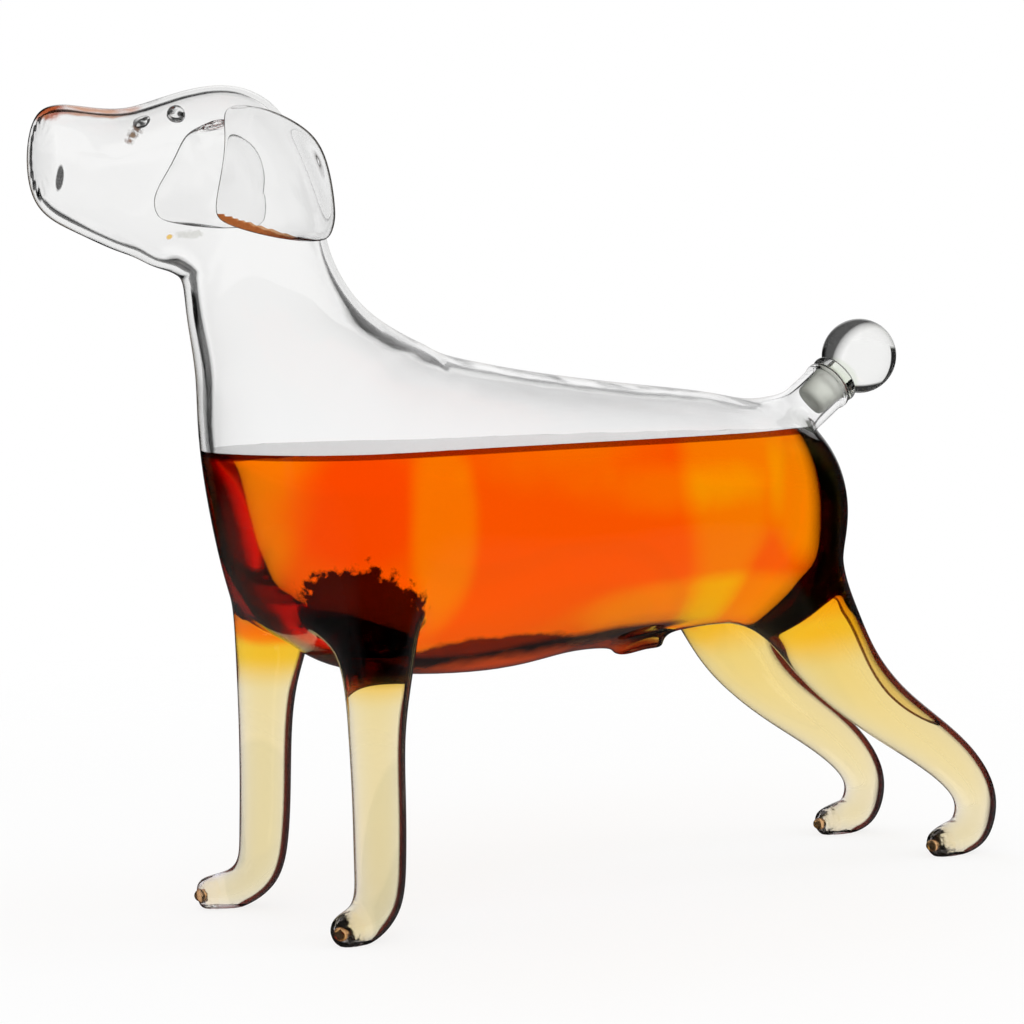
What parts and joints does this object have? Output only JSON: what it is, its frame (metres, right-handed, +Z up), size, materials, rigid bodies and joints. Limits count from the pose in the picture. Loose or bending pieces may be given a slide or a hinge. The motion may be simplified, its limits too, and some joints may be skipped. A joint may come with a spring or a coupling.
{
  "type": "figural liquor decanter",
  "caption": "Glass liquor decanter blown as a standing dog, hollow body and legs full of amber liquor, raised tail as its neck with a ground ball stopper that lifts out.",
  "frame": {"origin": "midway between the front of the snout and the back of the hind paws, on the plane of symmetry, at the table under the paws", "axes": "the dog faces -X, +Z is up, its own left side is on -Y, and Y = 0 is the plane of symmetry"},
  "size_m": [0.3435, 0.0898, 0.2525],
  "materials": {
    "clear_glass": "clear blown glass, fire polished",
    "stopper_glass": "clear solid glass, fire polished",
    "frosted_glass": "ground matt for a tight seat",
    "liquor": "clear amber liquid"
  },
  "bodies": {
    "vessel": {"torso_shell": "clear_glass", "head_shell": "clear_glass", "left_ear": "clear_glass", "right_ear": "clear_glass", "left_eye": "clear_glass", "right_eye": "clear_glass", "nose_tip": "clear_glass", "left_front_leg": "clear_glass", "right_front_leg": "clear_glass", "left_hind_leg": "clear_glass", "right_hind_leg": "clear_glass", "belly_nub": "clear_glass", "tail_neck": "clear_glass", "liquor": "liquor"},
    "stopper": {"stopper_plug": "frosted_glass", "stopper_collar": "stopper_glass", "stopper_ball": "stopper_glass"}
  },
  "joints": [
    {"name": "stopper_lift", "type": "slide", "parent": "vessel", "child": "stopper", "axis": [0.8241, 0, 0.5664], "range_m": [0, 0.045]}
  ]
}
